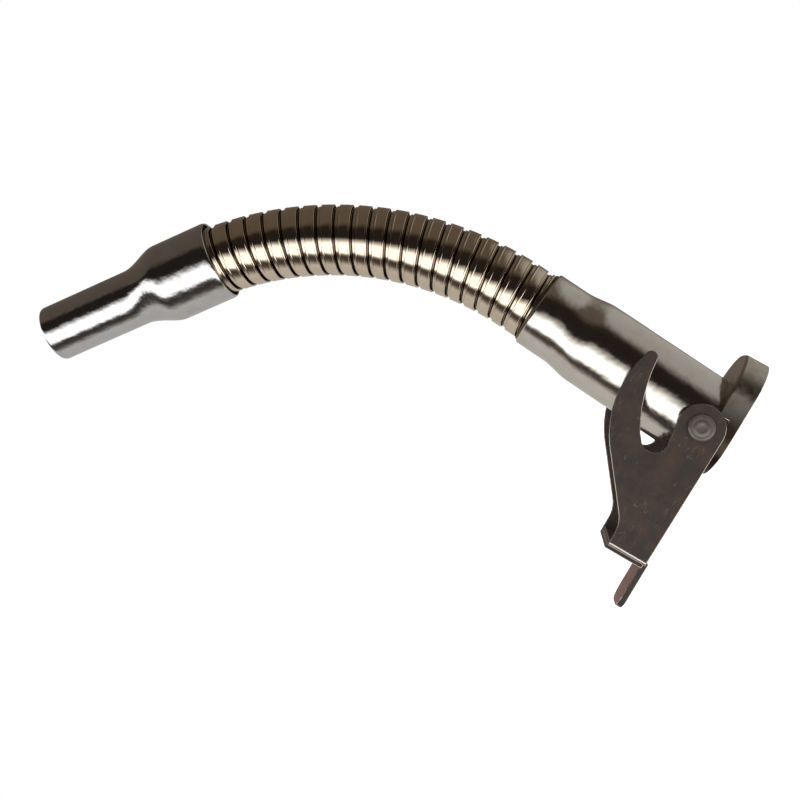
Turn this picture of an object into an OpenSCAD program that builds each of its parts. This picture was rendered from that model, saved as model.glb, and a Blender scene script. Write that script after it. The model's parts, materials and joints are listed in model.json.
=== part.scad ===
// Flexible metal pouring spout for a fuel can with a clamped mouth.
// An oval pressed cap clamps over the can's mouth, a brazed tube leads out of
// it into an interlocked metal hose, and a drawn nozzle ends the hose. A lever
// on two rivets hooks under the lugs of the can and pulls the cap down.
//
// Origin: centre of the gasket's sealing face. +Z leaves the can along the
// axis of the cap, the lever lies towards -X, and Y is the lever's axle.

/* [Mouth cap] */
// How far each end of the oval cap stands out past the body tube
cap_overhang = 7.3; // [7:0.1:12]
// Height of the cap over its rim
cap_h = 10.6; // [9.5:0.1:14]
// Straight stretch left between the corners at each end of the oval
cap_end_flat = 6; // [2:0.5:14]
// Sheet of the cap and of its ears
cap_sheet = 1.6; // [1:0.1:2]
// Rounding of the cap's upper edge
cap_edge_r = 1.2; // [0.6:0.1:1.5]
// Height of the gasket's face over the cap's rim
seat_depth = 6; // [4:0.1:6.5]
// Width of the gasket's ring
gasket_w = 3; // [2:0.1:4]

/* [Body tube] */
// Outside diameter of the body tube
tube_d = 38.4; // [32:0.1:46.5]
// Wall of the body tube
tube_wall = 1.2; // [0.8:0.1:1.6]
// Length from the cap's rim to the hose end, along the tube
body_len = 97; // [80:0.5:130]
// Wall of the sleeve that takes the hose
sleeve_wall = 1.25; // [0.8:0.05:1.8]
// Length of the sleeve
sleeve_len = 14.3; // [12:0.1:20]
// Length of the cone between the sleeve and the tube
cone_len = 14; // [8:0.5:24]
// Lean of the tube away from the cap's axis, in degrees
body_tilt = 4.7; // [0:0.1:6]
// Offset of the tube's axis towards the lever, at the cap's rim
body_offset = 6.8; // [0:0.1:6.8]

/* [Strainer and air tube] */
// Height of the strainer's seat over the top of the cap
strainer_up = 4; // [2:0.5:10]
// Width of the strainer's ring
strainer_ring_w = 2.6; // [2:0.1:4]
// Width of one wire of the coarse gauze
gauze_wire = 0.7; // [0.4:0.1:1]
// Spacing of the wires
gauze_pitch = 3; // [2.4:0.1:5]
// Outside diameter of the air tube
air_d = 6; // [5:0.5:8]
// Gap between the end of the air tube and the cone
air_end_gap = 1.1; // [0.5:0.1:20]

/* [Hose] */
// Diameter over the crests of the hose
hose_d = 31.8; // [26.5:0.1:38.5]
// Thickness of the hose strip
strip_t = 0.6; // [0.4:0.05:0.7]
// Length of hose that each turn adds
turn_pitch = 7.75; // [6.4:0.05:10]
// Bend of the hose from one turn to the next, in degrees
turn_bend = 2.83; // [0:0.01:3]
// Turns next to the body that run straight
straight_turns = 1; // [0:1:6]
// Largest bend that one joint of the hose allows, in degrees
flex_limit = 4.6; // [3.5:0.1:5]
// Step down from a crest to the shoulder behind it
shoulder_drop = 0.8; // [0.5:0.1:1]
// Width of the shoulder
shoulder_w = 1.15; // [0.6:0.05:1.6]

/* [Nozzle] */
// Outside diameter of the outlet tube
outlet_d = 26.3; // [22:0.1:30]
// Wall of the bush between the hose and the collar
bush_wall = 0.95; // [0.6:0.05:1.5]
// Length of the collar
collar_len = 27; // [20:0.5:36]
// Length of the taper between the collar and the outlet tube
nozzle_taper = 18; // [10:0.5:30]
// Whole length of the nozzle
nozzle_len = 88.5; // [70:0.5:130]
// Wall of the nozzle
nozzle_wall = 1.2; // [0.8:0.1:1.4]

/* [Lever] */
// Distance from the rivets to the outer face of the bridge
lever_reach = 61.2; // [56:0.2:80]
// Sheet of the lever's arms
arm_sheet = 2; // [1.5:0.1:2.5]
// Radius of the round ear at the rivet
arm_ear_r = 10; // [9:0.1:11]
// Distance of the rivets from the cap's axis, towards the lever
pivot_back = 10.2; // [6:0.1:12]
// Height of the rivets over the top of the cap
pivot_up = 2.9; // [1:0.1:5]
// Length of the finger tab beyond the bridge
tab_len = 21; // [14:0.5:30]
// Width of the finger tab
tab_w = 22; // [14:0.5:30]
// Diameter of the rivet's shank
rivet_d = 6; // [4:0.1:7]
// Diameter of the rivet's head
rivet_head_d = 11.2; // [10:0.1:14]

/* [Fits] */
// Side play between an arm and its washer
side_play = 0.05; // [0.02:0.01:0.1]
// Radial running clearance of a rivet in its arm
rivet_play = 0.06; // [0.02:0.01:0.1]
// Radial gap that solder fills round the hose
solder_gap = 0.35; // [0.2:0.05:0.6]
// Radial clearance between the hooks of neighbouring turns
hook_play = 0.2; // [0.15:0.01:0.3]
// Thickness of the washer between an ear and an arm
washer_t = 0.55; // [0.4:0.05:1]

/* [Hidden] */
$fn = 64;
turns = 20;
eps = 0.01;

TURN_NODES = [for (i = [1:turns]) str("hose_turn_", i < 10 ? "0" : "", i)];

// Heights along Z
rim_z = -seat_depth;
cap_top_z = rim_z + cap_h;
plate_z = cap_top_z - cap_sheet;

// The ears stand just outside the body tube, flush with the cap's sides
ear_gap = 0.2;
cap_len = tube_d + 2 * cap_overhang;
cap_w = tube_d + 2 * (ear_gap + cap_sheet);
cap_corner_r = (cap_w - cap_end_flat) / 2;
ear_half_w = 8;
pivot_z = cap_top_z + pivot_up;
ear_top_r = 7.6;
arm_in_y = cap_w / 2 + washer_t + side_play;
arm_out_y = arm_in_y + arm_sheet;
head_y = arm_out_y + side_play;
rivet_head_h = 1.9;

// Body tube, measured along its own axis from the cap's rim
tube_r = tube_d / 2;
tube_bore_r = tube_r - tube_wall;
crest_r = hose_d / 2;
socket_r = crest_r + solder_gap;
sleeve_r = socket_r + sleeve_wall;
cone_start = body_len - sleeve_len - cone_len;
sleeve_start = body_len - sleeve_len;

// Hose turn, measured along the turn from the joint with the turn before it
hook_travel = crest_r * sin(flex_limit);
turn_back = 0.9;
turn_slack = hook_travel + 0.1;
root_show = 2;
shoulder_end = turn_pitch - turn_back - turn_slack;
crest_end = shoulder_end - shoulder_w;
shoulder_r = crest_r - shoulder_drop;
hook_r = shoulder_r - strip_t - hook_play;
lip_r = hook_r - 0.5;
liner_r = lip_r - 2 * hook_play;
hook_start = strip_t - turn_back + hook_travel;
tail_end = turn_pitch + hook_start + strip_t;
first_joint = body_len + root_show + turn_slack + turn_back;

// Nozzle, measured along its own axis from the rim of its collar
outlet_r = outlet_d / 2;
collar_inset = 6.4;
nozzle_bore_r = outlet_r - nozzle_wall;
collar_bore_r = crest_r + bush_wall + solder_gap;
collar_r = collar_bore_r + nozzle_wall;
taper_end = collar_len + nozzle_taper;

// ---- Places along the hose ----

// Lean of turn i from +Z towards -X, in degrees
function turn_lean(i) = turn_bend * max(0, i - straight_turns) - body_tilt;

// Unit vector along turn i
function turn_way(i) = [-sin(turn_lean(i)), 0, cos(turn_lean(i))];

// Joint between turn i - 1 and turn i
function turn_at(i) =
    i <= 1 ? body_point(first_joint + (i - 1) * turn_pitch)
           : turn_at(i - 1) + turn_pitch * turn_way(i - 1);

// Point on the body tube's axis
function body_point(s) =
    [s * sin(body_tilt) - body_offset, 0, rim_z + s * cos(body_tilt)];

module on_body() {
    translate([-body_offset, 0, rim_z])
        rotate([0, body_tilt, 0])
            children();
}

module on_turn(i) {
    translate(turn_at(i))
        rotate([0, -turn_lean(i), 0])
            children();
}

module on_nozzle() {
    on_turn(turns + 1)
        translate([0, 0, -collar_inset])
            children();
}

// Puts a shape drawn as [reach, height] from the rivets into the XZ plane,
// standing from y = from to y = to
module across(from, to) {
    translate([-pivot_back, to, pivot_z])
        rotate([90, 0, 0])
            linear_extrude(to - from)
                mirror([1, 0])
                    children();
}

// ---- Shared shapes ----

function arc(centre, r, from, to, steps) =
    [for (k = [0:steps]) let (a = from + (to - from) * k / steps)
        centre + r * [cos(a), sin(a)]];

// Ring between two radii, from one height to another
module band(r_in, r_out, from, to) {
    translate([0, 0, from])
        difference() {
            cylinder(r = r_out, h = to - from);
            translate([0, 0, -1])
                cylinder(r = r_in, h = to - from + 2);
        }
}

// Oval puck with a rounded upper edge, standing on z = 0
module soft_puck(len, w, corner_r, h, edge_r) {
    dx = len / 2 - corner_r;
    dy = w / 2 - corner_r;
    rounding = arc([corner_r - edge_r, h - edge_r], edge_r, 0, 90, 6);
    for (x = [-dx, dx])
        for (y = [-dy, dy])
            translate([x, y, 0])
                rotate_extrude()
                    polygon(concat([[0, 0], [corner_r, 0]], rounding, [[0, h]]));
    puck_bar(dx, len / 2, 2 * dy, h, edge_r);
    rotate([0, 0, 90])
        puck_bar(dy, w / 2, 2 * dx, h, edge_r);
}

// Straight stretch of the puck, with both its long edges rounded
module puck_bar(inner, half, run, h, edge_r) {
    side = arc([half - edge_r, h - edge_r], edge_r, 0, 90, 6);
    other = [for (k = [len(side) - 1:-1:0]) [-side[k][0], side[k][1]]];
    translate([0, run / 2, 0])
        rotate([90, 0, 0])
            linear_extrude(run)
                polygon(concat([[-half, 0], [half, 0]], side, other));
}

// Plain oval column, standing on z = 0
module oval(len, w, corner_r, h) {
    dx = len / 2 - corner_r;
    dy = w / 2 - corner_r;
    for (x = [-dx, dx])
        for (y = [-dy, dy])
            translate([x, y, 0])
                cylinder(r = corner_r, h = h);
    translate([-len / 2, -dy, 0])
        cube([len, 2 * dy, h]);
    translate([-dx, -w / 2, 0])
        cube([2 * dx, w, h]);
}

// Two ear plates, each a pressed strip with a round top at the rivet
module ear_plates() {
    for (side = [-1, 1])
        translate([-pivot_back, side * (cap_w - cap_sheet) / 2, pivot_z])
            rotate([90, 0, 0])
                translate([0, 0, -cap_sheet / 2])
                    linear_extrude(cap_sheet)
                        ear_outline();
}

module ear_outline() {
    foot = rim_z + cap_h / 2 - pivot_z;
    circle(r = ear_top_r);
    polygon([[-ear_half_w, foot], [ear_half_w, foot],
             [ear_half_w, -pivot_up], [ear_top_r, 0],
             [-ear_top_r, 0], [-ear_half_w, -pivot_up]]);
}

// ---- Mouth cap ----

module mouth_cap() {
    color("lightslategray")
        difference() {
            translate([0, 0, rim_z])
                soft_puck(cap_len, cap_w, cap_corner_r, cap_h, cap_edge_r);
            translate([0, 0, rim_z - 1])
                oval(cap_len - 2 * cap_sheet, cap_w - 2 * cap_sheet,
                     cap_corner_r - cap_sheet, cap_h - cap_sheet + 1);
            on_body()
                cylinder(r = tube_r, h = 2 * cap_h);
            ear_plates();
        }
}

gasket_gap = 0.3;

module gasket() {
    len = cap_len - 2 * (cap_sheet + gasket_gap);
    w = cap_w - 2 * (cap_sheet + gasket_gap);
    corner_r = cap_corner_r - cap_sheet - gasket_gap;
    color([0.1, 0.1, 0.1])
        difference() {
            oval(len, w, corner_r, plate_z);
            translate([0, 0, -1])
                oval(len - 2 * gasket_w, w - 2 * gasket_w,
                     corner_r - gasket_w, plate_z + 2);
        }
}

module hinge_ears() {
    color("slategray")
        difference() {
            ear_plates();
            translate([-pivot_back, 0, pivot_z])
                rotate([90, 0, 0])
                    cylinder(d = rivet_d + 2 * eps, h = 2 * cap_w, center = true);
        }
}

// ---- Body tube ----

sleeve_chamfer = 0.6;

module body_tube() {
    color("silver")
        difference() {
            on_body()
                rotate_extrude()
                    polygon([[tube_bore_r, 0], [tube_r, 0],
                             [tube_r, cone_start], [sleeve_r, sleeve_start],
                             [sleeve_r, body_len - sleeve_chamfer],
                             [sleeve_r - sleeve_chamfer, body_len],
                             [socket_r, body_len], [socket_r, sleeve_start],
                             [tube_bore_r, cone_start]]);
            translate([-cap_len, -cap_w, plate_z - 2 * cap_h])
                cube([2 * cap_len, 2 * cap_w, 2 * cap_h]);
        }
}

braze_leg = 1.2;

module tube_braze() {
    foot = cap_h / cos(body_tilt);
    leg = braze_leg;
    sink = 2;
    color("darkgoldenrod")
        difference() {
            on_body()
                rotate_extrude()
                    polygon([[tube_r, foot - sink], [tube_r + leg, foot - sink],
                             [tube_r + leg, foot], [tube_r, foot + leg]]);
            translate([-cap_len, -cap_w, cap_top_z - 2 * cap_h])
                cube([2 * cap_len, 2 * cap_w, 2 * cap_h]);
            ear_plates();
        }
}

// ---- Strainer and air tube ----

strainer_s = cap_h + strainer_up;
strainer_t = 1;
gauze_t = 0.5;
gauze_inset = 0.6;
clip_w = 1;
clip_t = 0.8;
air_gap = 0.1;
air_foot = 1;
air_wall = 0.8;
air_x = tube_bore_r - air_d / 2;
air_s = strainer_s - air_foot;

module strainer_frame() {
    color("goldenrod")
        on_body()
            difference() {
                band(tube_bore_r - strainer_ring_w, tube_bore_r,
                     strainer_s, strainer_s + strainer_t);
                air_way();
            }
}

// Clear way for the air tube through the strainer's pieces
module air_way() {
    translate([air_x, 0, 0])
        cylinder(r = air_d / 2 + air_gap, h = body_len);
}

module strainer_gauze() {
    r = tube_bore_r - gauze_inset;
    count = ceil(r / gauze_pitch);
    color("khaki")
        on_body()
            translate([0, 0, strainer_s - gauze_t])
                difference() {
                    cylinder(r = r, h = gauze_t);
                    for (i = [-count:count - 1])
                        for (j = [-count:count - 1])
                            gauze_hole(i, j, r - strainer_ring_w);
                    translate([0, 0, -body_len / 2])
                        air_way();
                }
}

// One square opening, left out where it would break the gauze's rim
module gauze_hole(i, j, reach) {
    hole = gauze_pitch - gauze_wire;
    x = (i + 0.5) * gauze_pitch;
    y = (j + 0.5) * gauze_pitch;
    if (norm([x, y]) + hole * sqrt(0.5) < reach)
        translate([x, y, gauze_t / 2])
            cube([hole, hole, 2 * gauze_t], center = true);
}

module strainer_clip() {
    color("dimgray")
        on_body()
            difference() {
                band(tube_bore_r - clip_w, tube_bore_r,
                     strainer_s + strainer_t, strainer_s + strainer_t + clip_t);
                air_way();
                translate([air_x, -air_d / 2 - clip_w, 0])
                    cube([tube_r, air_d + 2 * clip_w, body_len]);
            }
}

module air_tube() {
    color("lightgray")
        on_body()
            translate([air_x, 0, 0])
                band(air_d / 2 - air_wall, air_d / 2, air_s, cone_start - air_end_gap);
}

// ---- Hose ----

// One turn of the interlocked strip: an outer band with a lip turned in at the
// near edge, a lower shoulder, and a liner that hooks into the next turn
module hose_turn() {
    rotate_extrude()
        polygon([[lip_r, -turn_back], [crest_r, -turn_back],
                 [crest_r, crest_end], [shoulder_r, crest_end],
                 [shoulder_r, shoulder_end], [liner_r, shoulder_end],
                 [liner_r, tail_end - strip_t], [hook_r, tail_end - strip_t],
                 [hook_r, tail_end], [liner_r - strip_t, tail_end],
                 [liner_r - strip_t, shoulder_end - strip_t],
                 [shoulder_r - strip_t, shoulder_end - strip_t],
                 [shoulder_r - strip_t, crest_end - strip_t],
                 [crest_r - strip_t, crest_end - strip_t],
                 [crest_r - strip_t, strip_t - turn_back],
                 [lip_r, strip_t - turn_back]]);
}

module hose_root_turn() {
    color("tan")
        on_turn(0)
            hose_turn();
}

solder_depth = 4.5;

module root_solder() {
    color("saddlebrown")
        on_body()
            band(crest_r, socket_r, body_len - solder_depth, body_len);
}

module hose_link(i) {
    color(i % 2 == 0 ? "tan" : "wheat")
        on_turn(i)
            hose_turn();
}

module hose_tip_turn() {
    color("tan")
        on_turn(turns + 1)
            hose_turn();
}

// ---- Nozzle ----

bush_start = collar_inset;
bush_len = 4;

module tip_bush() {
    color("peru")
        on_nozzle()
            band(crest_r, collar_bore_r - solder_gap, bush_start, bush_start + bush_len);
}

module tip_solder() {
    color("saddlebrown")
        on_nozzle()
            band(collar_bore_r - solder_gap, collar_bore_r,
                 bush_start, bush_start + bush_len);
}

// The taper falls slowly at the collar, steeply in its middle and slowly again
// where it flares into the outlet tube
rim_chamfer = 0.6;
rim_roll = 2.5;
slow_fall = 1;
flare = 1.6;
steep_from = collar_len + nozzle_taper / 5;
steep_to = collar_len + nozzle_taper * 3 / 5;

module nozzle() {
    color("gainsboro")
        on_nozzle()
            rotate_extrude()
                polygon([[collar_bore_r, 0], [collar_r - rim_chamfer, 0],
                         [collar_r, rim_roll], [collar_r, collar_len],
                         [collar_r - slow_fall, steep_from],
                         [outlet_r + flare, steep_to],
                         [outlet_r, taper_end],
                         [outlet_r, nozzle_len - rim_chamfer],
                         [outlet_r - rim_chamfer, nozzle_len],
                         [nozzle_bore_r, nozzle_len],
                         [nozzle_bore_r, taper_end],
                         [nozzle_bore_r + flare, steep_to],
                         [collar_bore_r - slow_fall, steep_from],
                         [collar_bore_r, collar_len]]);
}

// ---- Lever ----

// Outline of an arm, as arcs whose centres are [reach, height] from the rivet
bridge_top = 8.4;
bridge_low = -9.1;
neck_r = 14;
neck_at = [lever_reach - 5.7, bridge_top + neck_r];
back_r = 45.2;
back_at = [-1.3, -8.6];
finger_r = 2.6;
finger_at = [-15.5, 31.8];
belly_r = 67.3;
belly_at = [-20, -38];
throat_r = 5.6;
throat_at = [13.3, 13.6];
flange_lap = 3;
tab_top = -9.4;
tab_t = 2.8;
tab_corner_r = 6;

// Side of one arm, as [reach, height] from the rivet
module arm_outline(reach) {
    difference() {
        polygon(concat(
            [[reach, bridge_low], [reach, bridge_top]],
            arc(neck_at, neck_r, 270, 230, 5),
            arc(back_at, back_r, 49.8, 108, 12),
            arc(finger_at, finger_r, 108, 255, 7),
            arc(belly_at, belly_r, 86, 59.6, 6),
            arc(throat_at, throat_r, 62, -90, 9),
            arc([0, 0], arm_ear_r, 68, 270, 15)));
        circle(d = rivet_d + 2 * rivet_play);
    }
}

// The near arm, with its flange bent in to form the inner half of the bridge
module lever_near_arm() {
    flange_end = arm_in_y - flange_lap;
    color("rosybrown") {
        across(-arm_out_y, -arm_in_y)
            arm_outline(lever_reach);
        across(-arm_in_y, flange_end)
            flange_edge(lever_reach);
    }
}

// The far arm, with its flange lapped outside the other and the finger tab
module lever_far_arm() {
    reach = lever_reach + arm_sheet;
    flange_end = arm_in_y - flange_lap;
    color("rosybrown") {
        across(arm_in_y, arm_out_y)
            arm_outline(reach);
        across(-flange_end, arm_in_y)
            flange_edge(reach);
        tab(reach);
    }
}

module flange_edge(reach) {
    translate([reach - arm_sheet, bridge_low])
        square([arm_sheet, bridge_top - bridge_low]);
}

// Finger tab, bent out of the lower edge of the outer flange
module tab(reach) {
    corner_r = tab_corner_r;
    across(-tab_w / 2, tab_w / 2)
        translate([reach - arm_sheet, tab_top - tab_t])
            square([arm_sheet, tab_t - tab_top + bridge_low + 1]);
    translate([-pivot_back - reach - tab_len, 0, pivot_z + tab_top - tab_t]) {
        for (side = [-1, 1])
            translate([corner_r, side * (tab_w / 2 - corner_r), 0])
                cylinder(r = corner_r, h = tab_t);
        translate([0, corner_r - tab_w / 2, 0])
            cube([tab_len + eps, tab_w - 2 * corner_r, tab_t]);
        translate([corner_r, -tab_w / 2, 0])
            cube([tab_len + eps - corner_r, tab_w, tab_t]);
    }
}

// ---- Pivot ----

module on_pivot(side) {
    translate([-pivot_back, 0, pivot_z])
        rotate([90 * -side, 0, 0])
            children();
}

head_edge = 0.8;

module pivot_rivets() {
    head_r = rivet_head_d / 2;
    color("gray")
        for (side = [-1, 1])
            on_pivot(side)
                rotate_extrude()
                    polygon([[0, cap_w / 2 - cap_sheet],
                             [rivet_d / 2, cap_w / 2 - cap_sheet],
                             [rivet_d / 2, head_y], [head_r, head_y],
                             [head_r, head_y + rivet_head_h - head_edge],
                             [head_r - head_edge, head_y + rivet_head_h],
                             [0, head_y + rivet_head_h]]);
}

washer_inset = 0.4;

module pivot_washers() {
    color("darkgray")
        for (side = [-1, 1])
            on_pivot(side)
                band(rivet_d / 2 + eps, ear_top_r - washer_inset, cap_w / 2, cap_w / 2 + washer_t);
}

mouth_cap();
gasket();
hinge_ears();
body_tube();
tube_braze();
strainer_frame();
strainer_gauze();
strainer_clip();
air_tube();
hose_root_turn();
root_solder();
for (i = [1:turns])
    hose_link(i);
hose_tip_turn();
tip_bush();
tip_solder();
nozzle();
lever_near_arm();
lever_far_arm();
pivot_rivets();
pivot_washers();
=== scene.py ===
import json
import math

import bmesh
import bpy
from mathutils import Matrix, Quaternion, Vector, noise


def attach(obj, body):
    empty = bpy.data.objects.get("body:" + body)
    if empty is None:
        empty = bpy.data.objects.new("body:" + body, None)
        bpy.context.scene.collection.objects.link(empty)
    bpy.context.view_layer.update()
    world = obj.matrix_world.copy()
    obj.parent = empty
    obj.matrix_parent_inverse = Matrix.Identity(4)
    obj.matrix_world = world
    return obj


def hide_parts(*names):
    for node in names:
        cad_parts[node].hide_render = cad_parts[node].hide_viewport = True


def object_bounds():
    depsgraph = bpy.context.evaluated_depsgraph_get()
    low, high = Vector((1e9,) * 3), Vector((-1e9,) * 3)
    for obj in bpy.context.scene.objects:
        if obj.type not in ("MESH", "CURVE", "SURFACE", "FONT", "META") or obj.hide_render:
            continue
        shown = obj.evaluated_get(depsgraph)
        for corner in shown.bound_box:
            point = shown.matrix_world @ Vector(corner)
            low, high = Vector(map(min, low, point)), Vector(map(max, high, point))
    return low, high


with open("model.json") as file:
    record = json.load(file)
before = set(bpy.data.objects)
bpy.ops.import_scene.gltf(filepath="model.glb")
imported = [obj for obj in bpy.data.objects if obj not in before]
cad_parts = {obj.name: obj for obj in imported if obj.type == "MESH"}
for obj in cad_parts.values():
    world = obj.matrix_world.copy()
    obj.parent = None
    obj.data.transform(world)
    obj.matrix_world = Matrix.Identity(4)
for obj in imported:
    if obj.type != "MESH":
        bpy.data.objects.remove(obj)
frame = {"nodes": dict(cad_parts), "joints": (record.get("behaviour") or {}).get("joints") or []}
cad_low, cad_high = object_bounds()

# ---- Camera ----
# In front of the hose and below its middle, looking slightly up. It is rolled so
# that the cap lies at the lower right and the outlet at the lower left.
mm = 0.001
eye = Vector((-18.83, -447.62, 70.81)) * mm
aim = Vector((-64.58, 0, 124.21)) * mm
roll = math.radians(60.0)
lens = 45.2
film_width = 36

look = (aim - eye).normalized()
turned = Quaternion(look, roll) @ look.to_track_quat("-Z", "Y")
camera = bpy.data.objects.new("camera", bpy.data.cameras.new("camera"))
camera.data.lens = lens
camera.data.sensor_width = film_width
camera.location = eye
camera.rotation_euler = turned.to_euler()
bpy.context.scene.collection.objects.link(camera)
bpy.context.scene.camera = camera
bpy.context.scene.view_settings.view_transform = "Standard"

# ---- Floor and light ----
# A pale studio floor, low enough for the lever to swing down past the cap, and
# a light tent round the object: dark above, with one long white panel low in
# front, and grey below and behind. To the right its roof is lighter.
floor_gap = 95 * mm
floor_half = 2.5
floor_grey = 0.85
floor_rough = 0.9
floor_glow = 0.78
white = (1, 1, 1, 1)
dome_tint = (1, 0.98, 0.95, 1)
dome_strength = 0.72
tent_strength = 2.0
right_from = 0.34
right_full = 0.52
tent_low = [
    (-180, (0.26, 0.25, 0.235)),
    (-98, (0.33, 0.315, 0.295)),
    (-80, (0.06, 0.05, 0.043)),
    (-66, (0.025, 0.020, 0.017)),
    (-58, (0.10, 0.09, 0.08)),
    (-50, (0.95, 0.94, 0.92)),
    (-20, (0.95, 0.94, 0.92)),
    (-8, (0.30, 0.28, 0.26)),
    (0, (0.010, 0.008, 0.007)),
]
tent = tent_low + [
    (36, (0.012, 0.009, 0.007)),
    (52, (0.062, 0.049, 0.037)),
    (140, (0.070, 0.056, 0.043)),
    (180, (0.12, 0.10, 0.085)),
]
tent_right = tent_low + [
    (30, (0.034, 0.026, 0.025)),
    (52, (0.21, 0.20, 0.185)),
    (140, (0.25, 0.24, 0.22)),
    (180, (0.20, 0.19, 0.175)),
]


def node(tree, kind, **settings):
    """New node with its settings, or with the values of its numbered inputs."""
    made = tree.nodes.new(kind)
    for key, value in settings.items():
        if key.startswith("in_"):
            made.inputs[int(key[3:])].default_value = value
        else:
            setattr(made, key, value)
    return made


def joined(tree, *pairs):
    """Links sockets in pairs, each from an output to an input."""
    for source, target in pairs:
        tree.links.new(source, target)


def ramp_stops(ramp, stops):
    """Gives a colour ramp these (place, colour) stops."""
    elements = ramp.color_ramp.elements
    while len(elements) < len(stops):
        elements.new(0.5)
    for element, (place, colour) in zip(elements, stops):
        element.position = place
        element.color = (*colour, 1)


def tent_panels(tree, share, stops):
    """Panel colours by angle: 0 degrees faces the camera, 90 is the camera's up."""
    panels = node(tree, "ShaderNodeValToRGB")
    ramp_stops(panels, [((a + 180) / 360, colour) for a, colour in stops])
    tree.links.new(share, panels.inputs[0])
    return panels.outputs[0]


def light_tent():
    """World: the tent for gloss, a dome for matt surfaces, white for the camera."""
    world = bpy.data.worlds.new("light_tent")
    world.use_nodes = True
    tree = world.node_tree
    tree.nodes.clear()
    way = node(tree, "ShaderNodeTexCoord").outputs["Generated"]
    parts = []
    for axis in (turned @ Vector((0, 1, 0)), -look, turned @ Vector((1, 0, 0))):
        part = node(tree, "ShaderNodeVectorMath", operation="DOT_PRODUCT")
        part.inputs[1].default_value = axis
        tree.links.new(way, part.inputs[0])
        parts.append(part.outputs["Value"])
    angle = node(tree, "ShaderNodeMath", operation="ARCTAN2")
    share = node(tree, "ShaderNodeMapRange", in_1=-math.pi, in_2=math.pi)
    left = tent_panels(tree, share.outputs[0], tent)
    right = tent_panels(tree, share.outputs[0], tent_right)
    aside = node(tree, "ShaderNodeMapRange", in_1=right_from, in_2=right_full)
    walls = node(tree, "ShaderNodeMix", data_type="RGBA")
    inside = node(tree, "ShaderNodeBackground", in_1=tent_strength)
    dome = node(tree, "ShaderNodeBackground", in_0=dome_tint, in_1=dome_strength)
    paper = node(tree, "ShaderNodeBackground", in_0=white, in_1=1.0)
    ray = node(tree, "ShaderNodeLightPath")
    matt = node(tree, "ShaderNodeMixShader")
    seen = node(tree, "ShaderNodeMixShader")
    out = node(tree, "ShaderNodeOutputWorld")
    joined(
        tree,
        (parts[0], angle.inputs[0]),
        (parts[1], angle.inputs[1]),
        (angle.outputs[0], share.inputs[0]),
        (parts[2], aside.inputs[0]),
        (aside.outputs[0], walls.inputs[0]),
        (left, walls.inputs[6]),
        (right, walls.inputs[7]),
        (walls.outputs[2], inside.inputs[0]),
        (ray.outputs["Is Diffuse Ray"], matt.inputs[0]),
        (inside.outputs[0], matt.inputs[1]),
        (dome.outputs[0], matt.inputs[2]),
        (ray.outputs["Is Camera Ray"], seen.inputs[0]),
        (matt.outputs[0], seen.inputs[1]),
        (paper.outputs[0], seen.inputs[2]),
        (seen.outputs[0], out.inputs[0]),
    )
    bpy.context.scene.world = world


def new_piece(name, form):
    """Object in the scene with the bmesh's mesh, and the bmesh freed."""
    mesh = bpy.data.meshes.new(name)
    form.to_mesh(mesh)
    form.free()
    piece = bpy.data.objects.new(name, mesh)
    bpy.context.scene.collection.objects.link(piece)
    return piece


def studio_floor():
    """Matt floor that glows a little and is not mirrored in the metal."""
    form = bmesh.new()
    z = cad_low.z - floor_gap
    corners = [(-1, -1), (1, -1), (1, 1), (-1, 1)]
    form.faces.new(
        [form.verts.new((x * floor_half, y * floor_half, z)) for x, y in corners]
    )
    floor = new_piece("studio_floor", form)
    pale = bpy.data.materials.new("pale_floor")
    pale.use_nodes = True
    shader = pale.node_tree.nodes["Principled BSDF"]
    shader.inputs["Base Color"].default_value = (floor_grey, floor_grey, floor_grey, 1)
    shader.inputs["Roughness"].default_value = floor_rough
    shader.inputs["Emission Color"].default_value = white
    shader.inputs["Emission Strength"].default_value = floor_glow
    floor.data.materials.append(pale)
    floor.visible_glossy = False


light_tent()
studio_floor()

# ---- Mouth cap ----
# An oval cap pressed from steel sheet and zinc plated. It goes over the can's
# mouth, with its hinge ears let into its sides and the body tube brazed in.
pressed_edge = 0.3 * mm
cap_tint = (0.55, 0.52, 0.47)
cap_stain = (0.38, 0.30, 0.24)
cap_rubbed = (0.80, 0.77, 0.72)
cap_brown = (0.10, 0.08, 0.065)
cap_light = 20 * mm
cap_dark = -6 * mm
brown_drift = 6 * mm
cloud_scale = 130.0
haze_scale = 420.0
skin_scale = 2600.0
bare_metal = (0.75, 0.70, 0.64, 1)
weld = 0.002 * mm
flat_angle = math.radians(0.5)
rounded_angle = math.radians(35)
sharp_angle = math.radians(38)
edge_steps = 4
flat_weight = 90


def softened(node_name, name, edge, bends=None, bend_r=0):
    """Copy of a CAD node as one closed skin, with its edges rounded to edge.
    The edges for which bends is true get the radius bend_r instead."""
    form = bmesh.new()
    form.from_mesh(frame["nodes"][node_name].data)
    bmesh.ops.remove_doubles(form, verts=form.verts, dist=weld)
    bmesh.ops.dissolve_limit(form, angle_limit=flat_angle, verts=form.verts, edges=form.edges)
    widest = max(edge, bend_r)
    weight = form.edges.layers.float.new("bevel_weight_edge")
    for line in form.edges:
        if len(line.link_faces) == 2 and line.calc_face_angle(0) > rounded_angle:
            bent = bends is not None and all(bends(v.co / mm) for v in line.verts)
            line[weight] = (bend_r if bent else edge) / widest
    piece = new_piece(name, form)
    bevel = piece.modifiers.new("edges", "BEVEL")
    bevel.limit_method = "WEIGHT"
    bevel.width = widest
    bevel.segments = edge_steps
    bevel.use_clamp_overlap = False
    bevel.material = 1
    piece.data.shade_smooth()
    flats = piece.modifiers.new("flats", "WEIGHTED_NORMAL")
    flats.weight = flat_weight
    return piece


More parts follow.
